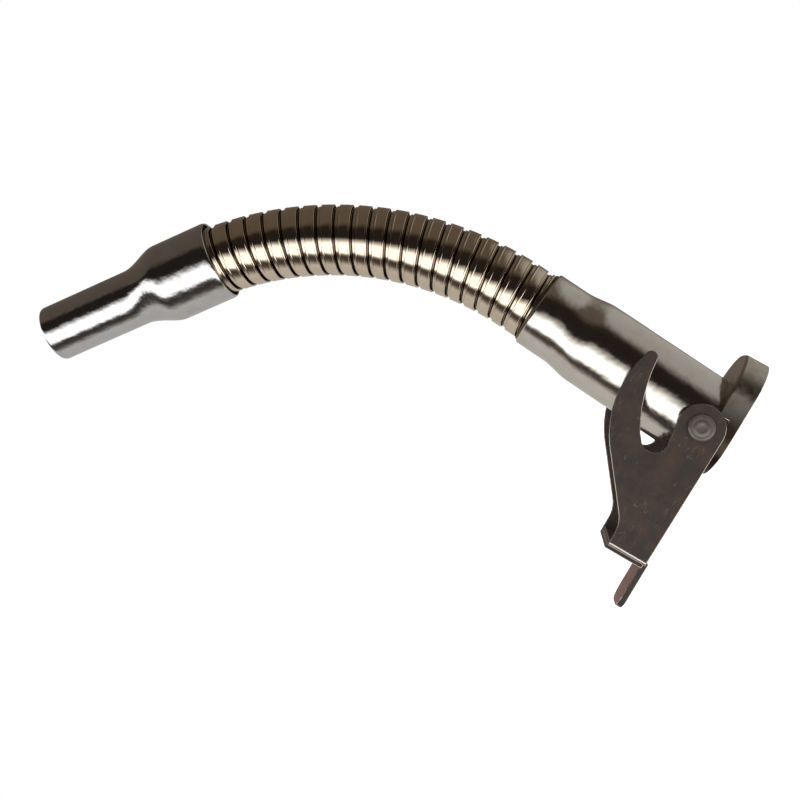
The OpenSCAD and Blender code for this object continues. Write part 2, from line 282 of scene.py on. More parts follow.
def finished(piece, body, nodes, slot, *materials):
    """Turns the piece's modifiers into plain mesh, and fixes it to its body."""
    for material in materials:
        piece.data.materials.append(material)
    if piece.modifiers:
        scene_now = bpy.context.evaluated_depsgraph_get()
        mesh = bpy.data.meshes.new_from_object(piece.evaluated_get(scene_now))
        piece.modifiers.clear()
        piece.data = mesh
    else:
        piece.data.shade_smooth()
        piece.data.set_sharp_from_angle(angle=sharp_angle)
    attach(piece, body)
    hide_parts(*nodes)
    return piece


def plated(name, tint, stain, rough, wave=0.02, grain=0.001, scratch=0.0, stains=0.35,
           metal=1.0, sheen=0.5, wave_scale=90.0):
    """Plated steel: cloudy tint, patchy gloss, slight waves and fine scratches.
    wave and grain are the depths in mm of the sheet's waves and of its skin.
    A low metal and sheen turn the plate into a dull, blackened skin."""
    material = bpy.data.materials.new(name)
    material.use_nodes = True
    tree = material.node_tree
    shader = tree.nodes["Principled BSDF"]
    shader.inputs["Metallic"].default_value = metal
    shader.inputs["Specular IOR Level"].default_value = sheen
    where = node(tree, "ShaderNodeTexCoord").outputs["Object"]
    clouds = node(tree, "ShaderNodeTexNoise", in_2=cloud_scale, in_3=5.0, in_4=0.6)
    patches = node(tree, "ShaderNodeMapRange", in_1=0.42, in_2=0.72)
    patches.inputs[4].default_value = stains
    tints = node(tree, "ShaderNodeMix", data_type="RGBA")
    tints.inputs[6].default_value = (*tint, 1)
    tints.inputs[7].default_value = (*stain, 1)
    haze = node(tree, "ShaderNodeTexNoise", in_2=haze_scale, in_3=4.0, in_4=0.65)
    gloss = node(tree, "ShaderNodeMapRange", in_1=0.3, in_2=0.75)
    gloss.inputs[3].default_value = rough * 0.75
    gloss.inputs[4].default_value = rough * 1.4
    sheet = node(tree, "ShaderNodeTexNoise", in_2=wave_scale, in_3=2.0, in_4=0.5)
    waves = node(tree, "ShaderNodeBump", in_0=1.0, in_1=wave * mm)
    skin = node(tree, "ShaderNodeTexNoise", in_2=skin_scale, in_3=3.0, in_4=0.6)
    pores = node(tree, "ShaderNodeBump", in_0=1.0, in_1=grain * mm)
    joined(
        tree,
        (where, clouds.inputs["Vector"]),
        (clouds.outputs[0], patches.inputs[0]),
        (patches.outputs[0], tints.inputs[0]),
        (tints.outputs[2], shader.inputs["Base Color"]),
        (where, haze.inputs["Vector"]),
        (haze.outputs[0], gloss.inputs[0]),
        (gloss.outputs[0], shader.inputs["Roughness"]),
        (where, sheet.inputs["Vector"]),
        (sheet.outputs[0], waves.inputs["Height"]),
        (where, skin.inputs["Vector"]),
        (skin.outputs[0], pores.inputs["Height"]),
        (waves.outputs[0], pores.inputs["Normal"]),
        (pores.outputs[0], shader.inputs["Normal"]),
    )
    if scratch:
        scratched(tree, where, shader, tints.outputs[2], scratch)
    return material


def scratched(tree, where, shader, colour, amount):
    """Thin bright scratches at two slants, over a material's own colour."""
    masks = []
    for turn, stretch in ((0.5, 5), (-0.9, 8)):
        slant = node(tree, "ShaderNodeMapping")
        slant.inputs["Rotation"].default_value = (0.2, turn, 0.1)
        slant.inputs["Scale"].default_value = (1, 1, stretch)
        line = node(tree, "ShaderNodeTexNoise", in_2=55.0, in_3=1.0, in_4=0.5)
        level = node(tree, "ShaderNodeMath", operation="SUBTRACT", in_1=0.55)
        apart = node(tree, "ShaderNodeMath", operation="ABSOLUTE")
        thin = node(tree, "ShaderNodeMapRange", in_1=0.007, in_2=0.002)
        breaks = node(tree, "ShaderNodeTexNoise", in_2=210.0 + 60 * turn, in_3=2.0, in_4=0.5)
        short = node(tree, "ShaderNodeMapRange", in_1=0.54, in_2=0.60)
        kept = node(tree, "ShaderNodeMath", operation="MULTIPLY")
        joined(
            tree,
            (where, slant.inputs[0]),
            (slant.outputs[0], line.inputs["Vector"]),
            (line.outputs[0], level.inputs[0]),
            (level.outputs[0], apart.inputs[0]),
            (apart.outputs[0], thin.inputs[0]),
            (where, breaks.inputs["Vector"]),
            (breaks.outputs[0], short.inputs[0]),
            (thin.outputs[0], kept.inputs[0]),
            (short.outputs[0], kept.inputs[1]),
        )
        masks.append(kept.outputs[0])
    both = node(tree, "ShaderNodeMath", operation="MAXIMUM")
    weaker = node(tree, "ShaderNodeMath", operation="MULTIPLY", in_1=amount)
    bare = node(tree, "ShaderNodeMix", data_type="RGBA")
    bare.inputs[7].default_value = bare_metal
    joined(
        tree,
        (masks[0], both.inputs[0]),
        (masks[1], both.inputs[1]),
        (both.outputs[0], weaker.inputs[0]),
        (weaker.outputs[0], bare.inputs[0]),
        (colour, bare.inputs[6]),
        (bare.outputs[2], shader.inputs["Base Color"]),
    )


def browned(material, light_x, dark_x, brown):
    """Lets a plate's colour darken to brown along X, as heat from brazing does."""
    tree = material.node_tree
    shader = tree.nodes["Principled BSDF"]
    colour = shader.inputs["Base Color"].links[0].from_socket
    where = node(tree, "ShaderNodeTexCoord").outputs["Object"]
    parts = node(tree, "ShaderNodeSeparateXYZ")
    cloud = node(tree, "ShaderNodeTexNoise", in_2=60.0, in_3=3.0, in_4=0.5)
    drift = node(tree, "ShaderNodeMapRange", in_3=-brown_drift, in_4=brown_drift)
    edge = node(tree, "ShaderNodeMath", operation="ADD")
    heat = node(tree, "ShaderNodeMapRange", in_1=light_x, in_2=dark_x)
    mix = node(tree, "ShaderNodeMix", data_type="RGBA", blend_type="MULTIPLY")
    mix.inputs[7].default_value = (*brown, 1)
    joined(
        tree,
        (where, parts.inputs[0]),
        (where, cloud.inputs["Vector"]),
        (cloud.outputs[0], drift.inputs[0]),
        (parts.outputs[0], edge.inputs[0]),
        (drift.outputs[0], edge.inputs[1]),
        (edge.outputs[0], heat.inputs[0]),
        (heat.outputs[0], mix.inputs[0]),
        (colour, mix.inputs[6]),
        (mix.outputs[2], shader.inputs["Base Color"]),
    )
    return material


satin_cap = browned(
    plated("satin_zinc_cap", cap_tint, cap_stain, 0.36), cap_light, cap_dark, cap_brown
)
cap_edge = plated("rubbed_cap_edge", cap_rubbed, cap_tint, 0.22)
mouth_cap = softened("mouth_cap", "cap_pressing", pressed_edge)
finished(mouth_cap, "can_fitting", ["mouth_cap"], "cap_steel", satin_cap, cap_edge)

# ---- Gasket ----
# Moulded black rubber ring, pushed into the cap. The can's mouth presses on it.
gasket_edge = 0.5 * mm
rubber_dark = (0.012, 0.012, 0.013)
rubber_bloom = (0.045, 0.043, 0.041)


def moulded_rubber():
    """Black rubber with a greyish bloom and a dull, finely pitted skin."""
    material = bpy.data.materials.new("black_rubber")
    material.use_nodes = True
    tree = material.node_tree
    shader = tree.nodes["Principled BSDF"]
    where = node(tree, "ShaderNodeTexCoord").outputs["Object"]
    bloom = node(tree, "ShaderNodeTexNoise", in_2=240.0, in_3=4.0, in_4=0.6)
    greys = node(tree, "ShaderNodeValToRGB")
    ramp_stops(greys, [(0.35, rubber_dark), (0.75, rubber_bloom)])
    skin = node(tree, "ShaderNodeTexNoise", in_2=2200.0, in_3=3.0, in_4=0.6)
    dull = node(tree, "ShaderNodeMapRange", in_3=0.55, in_4=0.8)
    bump = node(tree, "ShaderNodeBump", in_0=0.8, in_1=0.02 * mm)
    joined(
        tree,
        (where, bloom.inputs["Vector"]),
        (bloom.outputs[0], greys.inputs[0]),
        (greys.outputs[0], shader.inputs["Base Color"]),
        (bloom.outputs[0], dull.inputs[0]),
        (dull.outputs[0], shader.inputs["Roughness"]),
        (where, skin.inputs["Vector"]),
        (skin.outputs[0], bump.inputs["Height"]),
        (bump.outputs[0], shader.inputs["Normal"]),
    )
    return material


rubber = moulded_rubber()
gasket = softened("gasket", "mouth_gasket", gasket_edge)
finished(gasket, "can_fitting", ["gasket"], "rubber", rubber, rubber)

# ---- Body tube ----
# Drawn steel tube that runs from the cap, narrows in one pressed step and ends
# in the sleeve that holds the hose. Satin zinc plate, rubbed bright.
tube_tilt = math.radians(4.7)
tube_foot = Vector((-6.8, 0, -6)) * mm
tube_r = 19.2
tube_bore_r = 18.0
sleeve_r = 17.5
sleeve_bore_r = 16.25
step_from = 68.7
step_to = 82.7
tube_from = 6.0
tube_end = 97.0
rim_back = 0.7
rim_round = 0.3
step_middle = 76
step_spread = 9
draw_marks = 0.035
step_marks = 0.16
plate_z = 3.0
tube_place = Matrix.Translation(tube_foot) @ Matrix.Rotation(tube_tilt, 4, "Y")


def lathed(name, outline, place, sides=192, wobble=None):
    """Skin turned round an axis from a closed outline of (radius, along) in mm.
    wobble gives a small change of radius at (angle, along), for handwork."""
    form = bmesh.new()
    rings = []
    for radius, along in outline:
        ring = []
        for k in range(sides):
            a = 2 * math.pi * k / sides
            r = radius + (wobble(a, along) if wobble and radius else 0)
            ring.append(form.verts.new((r * math.cos(a), r * math.sin(a), along)))
        rings.append(ring)
    for near, far in zip(rings, rings[1:] + rings[:1]):
        for k in range(sides):
            after = (k + 1) % sides
            form.faces.new((near[k], near[after], far[after], far[k]))
    bmesh.ops.remove_doubles(form, verts=form.verts, dist=0.001)
    bmesh.ops.recalc_face_normals(form, faces=form.faces)
    bmesh.ops.scale(form, vec=(mm, mm, mm), verts=form.verts)
    bmesh.ops.transform(form, matrix=place, verts=form.verts)
    return new_piece(name, form)


def eased(share):
    """Smooth step from 0 to 1."""
    share = min(1, max(0, share))
    return share * share * (3 - 2 * share)


def step_point(wide_r, narrow_r, share):
    """Point of the pressed step, at this share of its length."""
    radius = wide_r + (narrow_r - wide_r) * eased(share)
    return radius, step_from + (step_to - step_from) * share


def tube_outline():
    """Section of the tube: up the outside, over the rim and down the bore."""
    straight_rows = 24
    step_rows = 14
    shares = [k / step_rows for k in range(step_rows + 1)]
    outer = [
        (tube_r, tube_from + (step_from - tube_from) * k / straight_rows)
        for k in range(straight_rows)
    ]
    outer += [step_point(tube_r, sleeve_r, share) for share in shares]
    outer += [
        (sleeve_r, step_to + (tube_end - rim_back - step_to) * k / 6) for k in (2, 4, 6)
    ]
    rim = [
        (sleeve_r - 0.1, tube_end - rim_round),
        (sleeve_r - 0.4, tube_end),
        (sleeve_bore_r + 0.2, tube_end),
        (sleeve_bore_r, tube_end - rim_round),
    ]
    inner = [step_point(tube_bore_r, sleeve_bore_r, share) for share in reversed(shares)]
    return outer + rim + inner + [(tube_bore_r, tube_from)]


def tube_wobble(a, along):
    """Slight flats and draw marks, strongest round the pressed step."""
    step = math.exp(-(((along - step_middle) / step_spread) ** 2))
    place = Vector((2.1 * math.cos(a), 2.1 * math.sin(a), along / 14))
    return (draw_marks + step_marks * step) * noise.noise(place)


def seated(piece, low):
    """Slides what lies below low along the tube's axis, up onto that height."""
    axis = tube_place.to_3x3() @ Vector((0, 0, 1))
    for v in piece.data.vertices:
        if v.co.z < low:
            v.co += axis * (low - v.co.z) / axis.z


satin_tube = plated(
    "satin_zinc_tube", (0.66, 0.64, 0.60), (0.50, 0.41, 0.35), 0.13, wave=0.25, grain=0.002,
    wave_scale=120.0,
)
body_tube = lathed("body_drawn_tube", tube_outline(), tube_place, wobble=tube_wobble)
seated(body_tube, plate_z * mm)
finished(body_tube, "can_fitting", ["body_tube"], "body_steel", satin_tube)

# ---- Braze ----
# Bead of braze metal that runs round the foot of the tube, uneven and darkened
# by the torch, between the two hinge ears.
braze_tint = (0.36, 0.28, 0.18)
braze_burnt = (0.07, 0.05, 0.04)
bead_edge = 0.1
bead_uneven = 0.28
bead_sunk = 0.12
bead_lumps = 260


def braze_bead():
    """CAD bead whose outside is sunk a little and made uneven."""
    form = bmesh.new()
    form.from_mesh(frame["nodes"]["tube_braze"].data)
    bmesh.ops.remove_doubles(form, verts=form.verts, dist=weld)
    axis = tube_place.to_3x3() @ Vector((0, 0, 1))
    for v in form.verts:
        arm = v.co - tube_foot
        out = arm - axis * arm.dot(axis)
        spare = out.length - tube_r * mm
        if spare > bead_edge * mm:
            uneven = bead_uneven * noise.noise(v.co * bead_lumps) * mm
            v.co += out.normalized() * (uneven - bead_sunk * mm)
    return new_piece("tube_braze_bead", form)


braze_metal = plated("braze_metal", braze_tint, braze_burnt, 0.42, 0.05, 0.006, stains=0.9)
bead = braze_bead()
finished(bead, "can_fitting", ["tube_braze"], "braze", braze_metal)

# ---- Hinge ears and washers ----
# Two plates pressed from strip and brazed into the cap's sides. A plain washer
# on each keeps the lever's arm off the ear.
strip_tint = (0.58, 0.55, 0.51)
ear_edge = 0.25 * mm
washer_edge = 0.12 * mm
zinc_strip = plated("zinc_strip", strip_tint, cap_stain, 0.28)
ears = softened("hinge_ears", "hinge_ear_plates", ear_edge)
finished(ears, "can_fitting", ["hinge_ears"], "ear_steel", satin_cap, satin_cap)
washers = softened("pivot_washers", "hinge_washers", washer_edge)
finished(washers, "can_fitting", ["pivot_washers"], "ear_steel", zinc_strip, zinc_strip)

# ---- Strainer and breather ----
# A brass ring with woven wire gauze soldered under it drops into the tube, and
# a spring clip holds it down. The breather tube passes through its edge.
brass_tint = (0.66, 0.50, 0.24)
gauze_r = 17.3
wire_r = 0.22
mesh_pitch = 1.5
gauze_s = 14.45
breather_x = 15.0
breather_r = 3.05
wire_points = 72
wire_sides = 6
strainer_edge = 0.2 * mm


def socket(tree, name, kind, default, output=False):
    """New named socket on the outside of a node group."""
    made = tree.interface.new_socket(
        name=name, in_out="OUTPUT" if output else "INPUT", socket_type=kind
    )
    if default is not None:
        made.default_value = default
    return made


def grown(name, tree, inputs, base=None):
    """Runs a node group as a modifier, with its inputs set by their sockets'
    identifiers, and gives back the result as a piece of plain mesh."""
    start = base or bpy.data.meshes.new(name + "_start")
    carrier = bpy.data.objects.new(name, start)
    bpy.context.scene.collection.objects.link(carrier)
    modifier = carrier.modifiers.new("grow", "NODES")
    modifier.node_group = tree
    for item in tree.interface.items_tree:
        if item.item_type == "SOCKET" and item.name in inputs:
            modifier[item.identifier] = inputs[item.name]
    scene_now = bpy.context.evaluated_depsgraph_get()
    mesh = bpy.data.meshes.new_from_object(carrier.evaluated_get(scene_now))
    bpy.data.objects.remove(carrier)
    piece = bpy.data.objects.new(name, mesh)
    bpy.context.scene.collection.objects.link(piece)
    return piece


def maths(tree, operation, a, b=None):
    """Math node on two sockets or numbers."""
    made = node(tree, "ShaderNodeMath", operation=operation)
    for k, value in enumerate((a, b)):
        if isinstance(value, (int, float)):
            made.inputs[k].default_value = value
        elif value is not None:
            tree.links.new(value, made.inputs[k])
    return made.outputs[0]


def woven_wires():
    """Node group: two sets of wires that pass over and under each other."""
    tree = bpy.data.node_groups.new("woven_gauze", "GeometryNodeTree")
    socket(tree, "Radius", "NodeSocketFloat", 0.017)
    socket(tree, "Wire radius", "NodeSocketFloat", 0.0002)
    socket(tree, "Pitch", "NodeSocketFloat", 0.0015)
    socket(tree, "Metal", "NodeSocketMaterial", None)
    socket(tree, "Gauze", "NodeSocketGeometry", None, output=True)
    given = node(tree, "NodeGroupInput").outputs
    out = node(tree, "NodeGroupOutput")
    count = maths(tree, "FLOOR", maths(tree, "DIVIDE", given["Radius"], given["Pitch"]))
    rows = maths(tree, "ADD", maths(tree, "MULTIPLY", count, 2.0), 1.0)
    both = node(tree, "GeometryNodeJoinGeometry")
    for turn, phase in ((0.0, 0.0), (math.pi / 2, math.pi)):
        spots = node(tree, "GeometryNodeMeshLine", mode="OFFSET")
        offset = node(tree, "ShaderNodeCombineXYZ")
        start = node(tree, "ShaderNodeCombineXYZ")
        low = maths(tree, "MULTIPLY", maths(tree, "MULTIPLY", count, -1.0), given["Pitch"])
        wire = node(tree, "GeometryNodeCurvePrimitiveLine")
        wire.inputs["Start"].default_value = (-1, 0, 0)
        wire.inputs["End"].default_value = (1, 0, 0)
        fine = node(tree, "GeometryNodeResampleCurve")
        fine.inputs["Count"].default_value = wire_points
        rowed = node(tree, "GeometryNodeInstanceOnPoints")
        real = node(tree, "GeometryNodeRealizeInstances")
        here = node(tree, "GeometryNodeInputPosition")
        parts = node(tree, "ShaderNodeSeparateXYZ")
        half = maths(
            tree,
            "SQRT",
            maths(
                tree,
                "SUBTRACT",
                maths(tree, "MULTIPLY", given["Radius"], given["Radius"]),
                maths(tree, "MULTIPLY", parts.outputs[1], parts.outputs[1]),
            ),
        )
        along = maths(tree, "MULTIPLY", parts.outputs[0], half)
        row = maths(tree, "DIVIDE", parts.outputs[1], given["Pitch"])
        beat = maths(tree, "ADD", maths(tree, "DIVIDE", along, given["Pitch"]), row)
        wave = maths(
            tree, "COSINE", maths(tree, "ADD", maths(tree, "MULTIPLY", beat, math.pi), phase)
        )
        height = maths(tree, "MULTIPLY", wave, given["Wire radius"])
        moved = node(tree, "ShaderNodeCombineXYZ")
        placed = node(tree, "GeometryNodeSetPosition")
        ring = node(tree, "GeometryNodeCurvePrimitiveCircle")
        ring.inputs["Resolution"].default_value = wire_sides
        swept = node(tree, "GeometryNodeCurveToMesh")
        swept.inputs["Fill Caps"].default_value = True
        turned_set = node(tree, "GeometryNodeTransform")
        turned_set.inputs["Rotation"].default_value = (0, 0, turn)
        joined(
            tree,
            (rows, spots.inputs["Count"]),
            (given["Pitch"], offset.inputs[1]),
            (offset.outputs[0], spots.inputs["Offset"]),
            (low, start.inputs[1]),
            (start.outputs[0], spots.inputs["Start Location"]),
            (wire.outputs[0], fine.inputs[0]),
            (spots.outputs[0], rowed.inputs["Points"]),
            (fine.outputs[0], rowed.inputs["Instance"]),
            (rowed.outputs[0], real.inputs[0]),
            (here.outputs[0], parts.inputs[0]),
            (along, moved.inputs[0]),
            (parts.outputs[1], moved.inputs[1]),
            (height, moved.inputs[2]),
            (real.outputs[0], placed.inputs["Geometry"]),
            (moved.outputs[0], placed.inputs["Position"]),
            (given["Wire radius"], ring.inputs["Radius"]),
            (placed.outputs[0], swept.inputs["Curve"]),
            (ring.outputs[0], swept.inputs["Profile Curve"]),
            (swept.outputs[0], turned_set.inputs["Geometry"]),
            (turned_set.outputs[0], both.inputs[0]),
        )
    whole = node(tree, "GeometryNodeRealizeInstances")
    painted = node(tree, "GeometryNodeSetMaterial")
    joined(
        tree,
        (both.outputs[0], whole.inputs[0]),
        (whole.outputs[0], painted.inputs["Geometry"]),
        (given["Metal"], painted.inputs["Material"]),
        (painted.outputs[0], out.inputs[0]),
    )
    return tree


def gauze_disc(metal):
    """Gauze in its place across the tube, cut out round the breather."""
    piece = grown(
        "strainer_wire_gauze",
        woven_wires(),
        {
            "Radius": gauze_r * mm,
            "Wire radius": wire_r * mm,
            "Pitch": mesh_pitch * mm,
            "Metal": metal,
        },
    )
    form = bmesh.new()
    form.from_mesh(piece.data)
    inside = [
        v
        for v in form.verts
        if math.hypot(v.co.x - breather_x * mm, v.co.y) < (breather_r + wire_r) * mm
    ]
    bmesh.ops.delete(form, geom=inside, context="VERTS")
    bmesh.ops.holes_fill(form, edges=[e for e in form.edges if e.is_boundary], sides=0)
    lift = tube_place @ Matrix.Translation((0, 0, gauze_s * mm))
    bmesh.ops.transform(form, matrix=lift, verts=form.verts)
    form.to_mesh(piece.data)
    form.free()
    return piece


brass = plated("pressed_brass", brass_tint, (0.34, 0.22, 0.10), 0.26)
black_wire = plated("black_spring_wire", (0.20, 0.20, 0.21), (0.08, 0.07, 0.07), 0.38)
drawn_steel = plated("drawn_breather_steel", (0.60, 0.60, 0.58), (0.42, 0.36, 0.30), 0.25)
strainer = softened("strainer_frame", "strainer_ring", strainer_edge)
finished(strainer, "can_fitting", ["strainer_frame"], "strainer_brass", brass, brass)
finished(gauze_disc(brass), "can_fitting", ["strainer_gauze"], "strainer_brass")
clip = softened("strainer_clip", "strainer_spring_clip", strainer_edge)
finished(clip, "can_fitting", ["strainer_clip"], "spring_steel", black_wire, black_wire)
breather = softened("air_tube", "breather_tube", strainer_edge)
finished(breather, "can_fitting", ["air_tube"], "air_steel", drawn_steel, drawn_steel)

# ---- Hose ----
# One flat strip of nickel-plated brass, rolled to an S and wound so that each turn
# hooks into the next. Here each turn is cut on the far side and rides on its own
# link, and its hook is kept shallow, so that the links can tilt.
pitch = 7.75
crest_r = 15.9
crest_in_r = 15.3
near_edge = -0.9
crest_end = 4.33
step_in = 3.73
shoulder_r = 15.1
shoulder_end = 5.6
tail_r = 14.6
tail_in_r = 14.1
tail_end = 9.0
lip_r = 15.25
hook_r = 14.85
seam = 0.0012
strip_steps = 129
line_steps = 24
# Painted shade: a dark colour painted in thin lines across the strip, at the crest's step and in
# the groove after the shoulder, where the turns shade each other. Each line is (middle, half
# width, strength), in mm along the strip.
groove_shade_colour = (0.030, 0.021, 0.015)
painted_shade_lines = [(crest_end + 0.05, 0.15, 0.85), (shoulder_end + 0.4, 0.45, 1)]
shade_line_fade = 0.06


def filleted(corners, steps=5):
    """Outline whose corners (x, y, radius) are rounded where the radius isn't 0."""
    points = []
    for k, (x, y, radius) in enumerate(corners):
        here = Vector((x, y))
        before = (Vector(corners[k - 1][:2]) - here).normalized()
        after = (Vector(corners[(k + 1) % len(corners)][:2]) - here).normalized()
        opening = before.angle(after)
        if radius == 0 or opening > math.radians(178):
            points.append((x, y))
            continue
        reach = radius / math.tan(opening / 2)
        centre = here + (before + after).normalized() * radius / math.sin(opening / 2)
        first = here + before * reach - centre
        last = here + after * reach - centre
        for step in range(steps + 1):
            share = step / steps
            arm = first.lerp(last, share).normalized() * radius
            points.append(tuple(centre + arm))
    return points


strip_outline = filleted(
    [
        (lip_r, near_edge, 0),
        (crest_r - 0.06, near_edge, 0.2),
        (crest_r + 0.03, near_edge + 0.35, 0.15),
        (crest_r + 0.03, near_edge + 0.7, 0.1),
        (crest_r - 0.07, near_edge + 0.9, 0.1),
        (crest_r - 0.02, near_edge + 1.4, 0.6),
        (crest_r + 0.01, 1.7, 2.0),
        (crest_r - 0.02, crest_end - 1.3, 0.6),
        (crest_r - 0.07, crest_end - 0.85, 0.1),
        (crest_r + 0.03, crest_end - 0.65, 0.1),
        (crest_r + 0.03, crest_end - 0.25, 0.15),
        (crest_r - 0.06, crest_end, 0.12),
        (shoulder_r, crest_end, 0.06),
        (shoulder_r, shoulder_end, 0.15),
        (tail_r, shoulder_end + 0.1, 0.05),
        (tail_r, tail_end - 0.35, 0),
        (hook_r, tail_end - 0.35, 0),
        (hook_r, tail_end, 0.1),
        (tail_in_r, tail_end, 0.2),
        (tail_in_r, step_in, 0.3),
        (crest_in_r, step_in, 0.1),
        (crest_in_r, near_edge + 0.35, 0),
        (lip_r, near_edge + 0.35, 0),
    ],
    steps=3,
)
hose_joints = [j for j in frame["joints"] if j["name"].startswith("hose_")]
bend_points = [Vector(j["pos_m"]) for j in hose_joints]


def hose_line():
    """Curve down the middle of the hose, through its joints and one pitch past
    them at each end."""
    root_way = tube_place.to_3x3() @ Vector((0, 0, 1))
    tip_way = bend_points[-1] - bend_points[-2]
    bend = (bend_points[-2] - bend_points[-3]).rotation_difference(tip_way)
    ends = [bend_points[0] - k * root_way * pitch * mm for k in (2, 1)]
    past = [bend_points[-1] + (bend @ tip_way)]
    past.append(past[0] + (bend @ bend @ tip_way))
    knots = ends + bend_points + past
    ways = [(b - a).normalized() for a, b in zip(knots, knots[1:])]
    ways = [ways[0], *[(a + b).normalized() for a, b in zip(ways, ways[1:])], ways[-1]]
    curve = bpy.data.curves.new("hose_line", "CURVE")
    curve.dimensions = "3D"
    spline = curve.splines.new("BEZIER")
    spline.resolution_u = line_steps
    spline.bezier_points.add(len(knots) - 1)
    for spot, knot, way in zip(spline.bezier_points, knots, ways):
        spot.co = knot
        spot.handle_left = knot - way * pitch * mm / 3
        spot.handle_right = knot + way * pitch * mm / 3
    return curve


def wound_strip():
    """Node group: one turn of a strip wound on the line, from its outline."""
    tree = bpy.data.node_groups.new("wound_strip", "GeometryNodeTree")
    socket(tree, "Line", "NodeSocketGeometry", None)
    socket(tree, "Outline", "NodeSocketObject", None)
    socket(tree, "From", "NodeSocketFloat", 0.0)
    socket(tree, "Pitch", "NodeSocketFloat", 0.008)
    socket(tree, "Steps", "NodeSocketInt", 128)
    socket(tree, "Metal", "NodeSocketMaterial", None)
    socket(tree, "Turn", "NodeSocketGeometry", None, output=True)
    given = node(tree, "NodeGroupInput").outputs
    out = node(tree, "NodeGroupOutput")
    shape = node(tree, "GeometryNodeObjectInfo", transform_space="ORIGINAL")
    lap = node(tree, "GeometryNodeMeshLine", mode="END_POINTS")
    lap.inputs["Start Location"].default_value = (0, 0, seam)
    lap.inputs["Offset"].default_value = (0, 0, 1 - seam)
    lap_curve = node(tree, "GeometryNodeMeshToCurve")
    swept = node(tree, "GeometryNodeCurveToMesh")
    swept.inputs["Fill Caps"].default_value = True
    here = node(tree, "GeometryNodeInputPosition")
    parts = node(tree, "ShaderNodeSeparateXYZ")
    joined(
        tree,
        (given["Outline"], shape.inputs["Object"]),
        (given["Steps"], lap.inputs["Count"]),
        (lap.outputs[0], lap_curve.inputs[0]),
        (lap_curve.outputs[0], swept.inputs["Curve"]),
        (shape.outputs["Geometry"], swept.inputs["Profile Curve"]),
        (here.outputs[0], parts.inputs[0]),
    )
    share = parts.outputs[2]
    turn = maths(tree, "MULTIPLY", share, 2 * math.pi)
    angle = maths(tree, "ADD", turn, math.pi / 2)
    lead = maths(tree, "MULTIPLY", maths(tree, "SUBTRACT", share, 0.5), given["Pitch"])
    along = maths(tree, "ADD", maths(tree, "ADD", given["From"], lead), parts.outputs[1])
    spot = node(tree, "GeometryNodeSampleCurve", mode="LENGTH")
    way = node(tree, "ShaderNodeSeparateXYZ")
    aside = node(tree, "ShaderNodeCombineXYZ")
    joined(
        tree,
        (given["Line"], spot.inputs["Curves"]),
        (along, spot.inputs["Length"]),
        (spot.outputs["Tangent"], way.inputs[0]),
    )
    radial = maths(tree, "MULTIPLY", parts.outputs[0], maths(tree, "COSINE", angle))
    side = maths(tree, "MULTIPLY", parts.outputs[0], maths(tree, "SINE", angle))
    back = maths(tree, "MULTIPLY", way.outputs[0], -1.0)
    joined(
        tree,
        (maths(tree, "MULTIPLY", radial, way.outputs[2]), aside.inputs[0]),
        (side, aside.inputs[1]),
        (maths(tree, "MULTIPLY", radial, back), aside.inputs[2]),
    )
    place = node(tree, "ShaderNodeVectorMath", operation="ADD")
    across = node(tree, "GeometryNodeStoreNamedAttribute", data_type="FLOAT", domain="POINT")
    across.inputs["Name"].default_value = "strip_along"
    placed = node(tree, "GeometryNodeSetPosition")
    whole = node(tree, "GeometryNodeRealizeInstances")
    painted = node(tree, "GeometryNodeSetMaterial")
    joined(
        tree,
        (spot.outputs["Position"], place.inputs[0]),
        (aside.outputs[0], place.inputs[1]),
        (parts.outputs[1], across.inputs["Value"]),
        (swept.outputs[0], across.inputs["Geometry"]),
        (across.outputs[0], placed.inputs["Geometry"]),
        (place.outputs[0], placed.inputs["Position"]),
        (placed.outputs[0], whole.inputs[0]),
        (whole.outputs[0], painted.inputs["Geometry"]),
        (given["Metal"], painted.inputs["Material"]),
        (painted.outputs[0], out.inputs[0]),
    )
    return tree


def outline_object(name, points):
    """Closed flat curve of (radius, along) points, for a sweep to follow."""
    curve = bpy.data.curves.new(name, "CURVE")
    curve.dimensions = "3D"
    spline = curve.splines.new("POLY")
    spline.points.add(len(points) - 1)
    for spot, (x, y) in zip(spline.points, points):
        spot.co = (x * mm, y * mm, 0, 1)
    spline.use_cyclic_u = True
    return bpy.data.objects.new(name, curve)


nickel = plated(
    "nickel_strip", (0.72, 0.63, 0.52), (0.52, 0.40, 0.28), 0.10, wave=0.03, grain=0.0008
)


def paint_groove_shade(material):
    """Paints shade into the strip's colour: dark lines at the crest's step and in the groove
    after the shoulder, where the turns shade each other.
    """
    tree = material.node_tree
    shader = tree.nodes["Principled BSDF"]
    colour = shader.inputs["Base Color"].links[0].from_socket
    along = node(tree, "ShaderNodeAttribute", attribute_name="strip_along")
    for middle, half, amount in painted_shade_lines:
        off = maths(tree, "SUBTRACT", along.outputs["Fac"], middle * mm)
        line = node(tree, "ShaderNodeMapRange", in_1=(half + shade_line_fade) * mm, in_4=amount)
        line.inputs[2].default_value = (half - shade_line_fade) * mm
        mix = node(tree, "ShaderNodeMix", data_type="RGBA")
        mix.inputs[7].default_value = (*groove_shade_colour, 1)
        joined(
            tree,
            (maths(tree, "ABSOLUTE", off), line.inputs[0]),
            (line.outputs[0], mix.inputs[0]),
            (colour, mix.inputs[6]),
        )
        colour = mix.outputs[2]
    tree.links.new(colour, shader.inputs["Base Color"])
